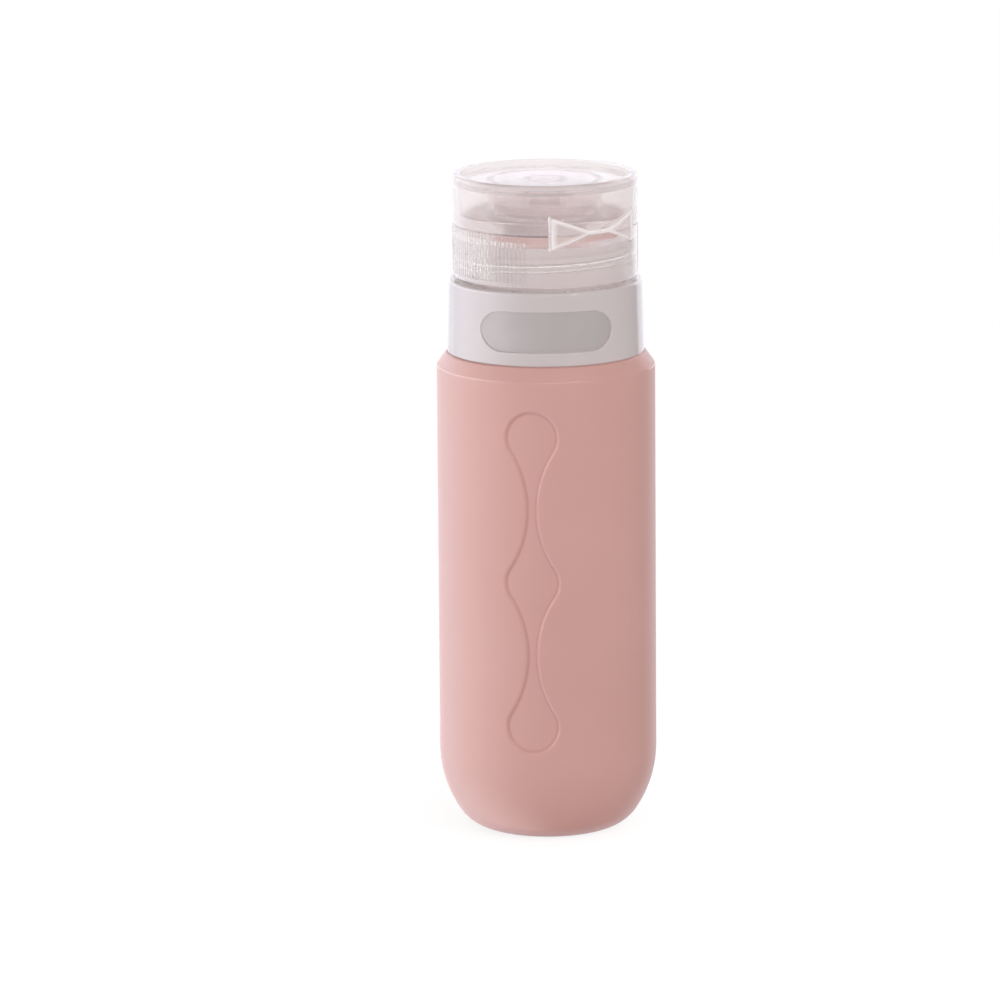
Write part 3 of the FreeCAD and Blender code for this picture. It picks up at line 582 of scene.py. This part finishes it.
class Shading(NodeTree):
    """A new material, with short calls for its finish."""

    def __init__(self, name):
        self.material = bpy.data.materials.new(name)
        super().__init__(self.material)
        self.shader = self.nodes["Principled BSDF"]
        self.output = self.nodes["Material Output"]
        self.place = self.nodes.new("ShaderNodeTexCoord").outputs["Object"]

    def set(self, **values):
        """The shader's inputs. Their names have _ in place of spaces."""
        for name, value in values.items():
            self.give(self.shader.inputs[name.replace("_", " ")], value)

    def noise(self, size, detail=2.0):
        """Noise with spots of about a size in metres."""
        node = self.add("ShaderNodeTexNoise", Vector=self.place, Scale=1 / size, Detail=detail)
        return node.outputs["Fac"]

    def own_value(self, attribute):
        """A value that the mesh holds at its points."""
        node = self.nodes.new("ShaderNodeAttribute")
        node.attribute_name = attribute
        return node.outputs["Fac"]

    def blend_colour(self, factor, first, second):
        ramp = self.add("ShaderNodeValToRGB", Fac=factor)
        stops = ramp.color_ramp.elements
        for stop, place, colour in zip(stops, NOISE_SPAN, (first, second)):
            stop.position = place
            stop.color = colour
        self.set(Base_Color=ramp.outputs["Color"])

    def paint_shade_along(self, attribute, colour):
        """Painted shade: a darker colour where the mesh's own value is 1."""
        base = self.shader.inputs["Base Color"]
        mix = self.nodes.new("ShaderNodeMix")
        mix.data_type = "RGBA"
        first, second = [socket for socket in mix.inputs if socket.type == "RGBA"]
        result = [socket for socket in mix.outputs if socket.type == "RGBA"][0]
        self.give(mix.inputs["Factor"], self.own_value(attribute))
        self.give(first, base.links[0].from_socket)
        self.give(second, colour)
        self.give(base, result)

    def paint_highlight_along(self, attribute, clear, highlighted):
        """Painted highlight: less light passes straight through where the mesh's own value is 1, so
        the milky base colour shows whiter there.
        """
        self.set(Transmission_Weight=self.span(self.own_value(attribute), clear, highlighted))

    def vary_roughness(self, factor, low, high):
        self.set(Roughness=self.span(factor, low, high, *NOISE_SPAN))

    def polish_along(self, attribute, share):
        """A share of the roughness is left where the mesh's own value is 1."""
        rough = self.shader.inputs["Roughness"].links[0].from_socket
        left = self.span(self.own_value(attribute), 1.0, share)
        self.set(Roughness=self.combine("MULTIPLY", rough, left))

    def bump(self, height, distance):
        node = self.add("ShaderNodeBump", Strength=1.0, Distance=distance, Height=height)
        self.set(Normal=node.outputs["Normal"])

    def dim_inside(self, colour, density):
        """Light that goes a long way inside the plastic is dimmed, so its edges show."""
        node = self.add("ShaderNodeVolumeAbsorption", Color=colour, Density=density)
        self.links.new(node.outputs["Volume"], self.output.inputs["Volume"])

    def let_light_through(self, tint, rays=("Is Shadow Ray", "Is Diffuse Ray")):
        """Soft light, lamps and often mirrored rays go through the plastic as through a thin wall."""
        path = self.nodes.new("ShaderNodeLightPath").outputs
        passing = self.combine("GREATER_THAN", path["Glossy Depth"], MOST_GLOSS)
        for ray in rays:
            passing = self.combine("MAXIMUM", passing, path[ray])
        clear = self.add("ShaderNodeBsdfTransparent", Color=tint)
        shown = self.mix(passing, self.shader.outputs["BSDF"], clear.outputs["BSDF"])
        self.links.new(shown, self.output.inputs["Surface"])


def silicone_material():
    shading = Shading("pink_silicone")
    shading.blend_colour(shading.noise(18 * MM), linear(204, 157, 148), linear(207, 160, 152))
    # Painted shade in the panel's inner corner
    shading.paint_shade_along(PANEL_PAINTED_SHADE, linear(195, 143, 137))
    shading.vary_roughness(shading.noise(0.4 * MM, detail=3), low=0.38, high=0.46)
    shading.polish_along(EDGE_SHINE, share=0.55)
    shading.bump(shading.noise(0.25 * MM, detail=3), distance=0.006 * MM)
    shading.set(IOR=1.45)
    return shading.material


def neck_material():
    shading = Shading("neck_plastic")
    shading.blend_colour(shading.noise(9 * MM), linear(204, 192, 192), linear(209, 198, 198))
    shading.vary_roughness(shading.noise(1.2 * MM), low=0.24, high=0.34)
    shading.bump(shading.noise(0.5 * MM), distance=0.004 * MM)
    shading.set(IOR=1.49)
    return shading.material


def label_material():
    shading = Shading("label_grey")
    shading.blend_colour(shading.noise(6 * MM), linear(180, 171, 171), linear(184, 175, 175))
    shading.vary_roughness(shading.noise(0.5 * MM, detail=3), low=0.3, high=0.4)
    shading.bump(shading.noise(0.2 * MM, detail=3), distance=0.004 * MM)
    return shading.material


def collar_material():
    shading = Shading("collar_plastic")
    shading.blend_colour(shading.noise(12 * MM), linear(201, 190, 190), linear(204, 193, 193))
    shading.vary_roughness(shading.noise(1.5 * MM), low=0.08, high=0.14)
    shading.bump(shading.noise(2.5 * MM), distance=0.005 * MM)
    shading.set(IOR=1.49)
    rays = ("Is Shadow Ray", "Is Diffuse Ray", "Is Glossy Ray")
    shading.let_light_through(linear(252, 250, 250), rays)
    return shading.material


CAP_TINTS = (linear(246, 240, 240), linear(249, 243, 243))
LID_TINTS = (linear(252, 247, 247), linear(254, 249, 249))


def clear_shading(name, tints, bend, passed, haze):
    """Clear plastic, by how far it bends light, the share that passes and its haze."""
    shading = Shading(name)
    shading.blend_colour(shading.noise(10 * MM), *tints)
    low, high = haze * (1 - HAZE_SPREAD), haze * (1 + HAZE_SPREAD)
    shading.vary_roughness(shading.noise(1.5 * MM), low, high)
    shading.bump(shading.noise(3 * MM), distance=0.006 * MM)
    shading.set(IOR=bend, Transmission_Weight=passed)
    shading.let_light_through(linear(251, 249, 249))
    return shading


def cap_material():
    return clear_shading("cap_plastic", CAP_TINTS, bend=1.46, passed=0.84, haze=0.2).material


def lid_material():
    shading = clear_shading("lid_plastic", LID_TINTS, bend=1.25, passed=0.92, haze=0.19)
    shading.dim_inside(LID_DIMMING_COLOUR, LID_DIMMING_DENSITY)
    return shading.material


def hinge_material():
    """The clear plastic, with a painted highlight: milky white along the hinge wings' rims."""
    shading = clear_shading("hinge_plastic", CAP_TINTS, bend=1.3, passed=0.8, haze=0.13)
    # Painted highlight: milky white rims for the wings' bright edges
    shading.paint_highlight_along(FLAP_PAINTED_HIGHLIGHT, clear=0.8, highlighted=0.15)
    return shading.material


def valve_material():
    shading = Shading("valve_silicone")
    shading.blend_colour(shading.noise(3 * MM), linear(204, 193, 193), linear(209, 199, 199))
    shading.vary_roughness(shading.noise(0.3 * MM), low=0.4, high=0.5)
    shading.bump(shading.noise(0.2 * MM), distance=0.004 * MM)
    return shading.material


def floor_material():
    """White to the camera, with the object's shadow kept as a soft part of it."""
    shading = Shading("floor_white")
    shading.set(Base_Color=FLOOR_COLOUR, Roughness=0.9, Specular_IOR_Level=0.0)
    path = shading.nodes.new("ShaderNodeLightPath").outputs
    glow = shading.add("ShaderNodeEmission", Strength=FLOOR_GLOW)
    share = shading.combine("MULTIPLY", path["Is Camera Ray"], FLOOR_GLOW_SHARE)
    shown = shading.mix(share, shading.shader.outputs["BSDF"], glow.outputs["Emission"])
    shading.links.new(shown, shading.output.inputs["Surface"])
    return shading.material


# Stage


def make_floor():
    side = FLOOR_SIDE / 2
    corners = [(-side, -side, 0), (side, -side, 0), (side, side, 0), (-side, side, 0)]
    mesh = bpy.data.meshes.new("floor")
    mesh.from_pydata(corners, [], [(0, 1, 2, 3)])
    mesh.materials.append(floor_material())
    floor = bpy.data.objects.new("floor", mesh)
    floor.visible_glossy = False
    floor.visible_transmission = False
    bpy.context.scene.collection.objects.link(floor)


def ramp_along(tree, value, low, high, table, tint):
    """The table's shares of a tint, along a value that goes from low to high."""
    node = tree.add("ShaderNodeValToRGB", Fac=tree.span(value, 0, 1, low, high))
    stops = node.color_ramp.elements
    stops.remove(stops[1])
    start, end = table[0][0], table[-1][0]
    for place, share in table:
        stop = stops.new((place - start) / (end - start)) if place > start else stops[0]
        stop.color = (*(share * part for part in tint), 1)
    return node.outputs["Color"]


def make_world():
    """White where it is seen or seen through, even light for surfaces, and studio walls in gloss."""
    world = bpy.data.worlds.new("studio")
    bpy.context.scene.world = world
    tree = NodeTree(world)
    path = tree.nodes.new("ShaderNodeLightPath").outputs
    place = tree.nodes.new("ShaderNodeTexCoord").outputs["Generated"]
    axes = tree.add("ShaderNodeSeparateXYZ", Vector=place).outputs
    forward = tree.combine("MULTIPLY", axes["Y"], -1)
    azimuth = tree.combine("ARCTAN2", axes["X"], forward)
    low, high = CAMERA_AZIMUTH - math.pi, CAMERA_AZIMUTH + math.pi
    walls = ramp_along(tree, azimuth, low, high, MIRRORED, MIRRORED_TINT)
    height = ramp_along(tree, axes["Z"], -1, 1, MIRRORED_HEIGHT, WHITE[:3])
    strength = tree.combine("MULTIPLY", height, MIRRORED_PEAK)
    even = tree.nodes["Background"]
    even.inputs["Color"].default_value = WHITE
    even.inputs["Strength"].default_value = AMBIENT
    studio = tree.add("ShaderNodeBackground", Color=walls, Strength=strength)
    white = tree.add("ShaderNodeBackground", Color=WHITE)
    first = tree.combine("LESS_THAN", path["Ray Depth"], FIRST_BOUNCE)
    layers = (
        (path["Is Glossy Ray"], white),
        (tree.combine("MULTIPLY", path["Is Glossy Ray"], first), studio),
        (path["Is Transmission Ray"], white),
        (path["Is Camera Ray"], white),
    )
    shown = even.outputs["Background"]
    for ray, light in layers:
        shown = tree.mix(ray, shown, light.outputs["Background"])
    tree.links.new(shown, tree.nodes["World Output"].inputs["Surface"])


def towards(azimuth, elevation):
    """The direction at an azimuth from the front towards +X, and an elevation."""
    flat = math.cos(elevation)
    return Vector((math.sin(azimuth) * flat, -math.cos(azimuth) * flat, math.sin(elevation)))


def make_lamps():
    aim = Vector((0, 0, (cad_low.z + cad_high.z) / 2))
    for name, azimuth, elevation, distance, width, height, watts in LAMPS:
        light = bpy.data.lights.new(name, "AREA")
        light.shape = "RECTANGLE"
        light.size = width
        light.size_y = height
        light.energy = watts
        lamp = bpy.data.objects.new(name, light)
        way = towards(math.radians(azimuth), math.radians(elevation))
        lamp.location = aim + way * distance
        lamp.rotation_euler = way.to_track_quat("Z", "Y").to_euler()
        lamp.visible_camera = False
        bpy.context.scene.collection.objects.link(lamp)


def make_camera():
    data = bpy.data.cameras.new("camera")
    data.lens = CAMERA_LENS
    data.clip_start = CAMERA_CLIP
    camera = bpy.data.objects.new("camera", data)
    bpy.context.scene.collection.objects.link(camera)
    flat = towards(CAMERA_AZIMUTH, 0)
    right = Vector((-flat.y, flat.x, 0))
    camera.location = flat * CAMERA_REACH + Vector((0, 0, CAMERA_HEIGHT))
    aim = Vector((0, 0, CAMERA_AIM_HEIGHT)) - right * CAMERA_AIM_LEFT
    turn = (aim - camera.location).to_track_quat("-Z", "Y").to_matrix()
    camera.rotation_euler = (turn @ Matrix.Rotation(CAMERA_ROLL, 3, "Z")).to_euler()
    bpy.context.scene.camera = camera


def dress(node, material):
    """A solid that keeps its shape gets a better finish."""
    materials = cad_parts[node].data.materials
    materials.clear()
    materials.append(material)


hinge = hinge_material()
neck = neck_material()
make_silicone_bottle(silicone_material())
make_valve(valve_material())
make_flap("bow_tie_wing_left", "hinge_flap_left", -1, "left_flap", hinge)
make_flap("bow_tie_wing_right", "hinge_flap_right", 1, "right_flap", hinge)
dress("threaded_neck", neck)
dress("valve_retainer", neck)
dress("label_band", label_material())
dress("window_collar", collar_material())
dress("cap_base", cap_material())
dress("flip_lid", lid_material())
make_floor()
make_world()
make_lamps()
make_camera()
bpy.context.scene.view_settings.view_transform = "Standard"
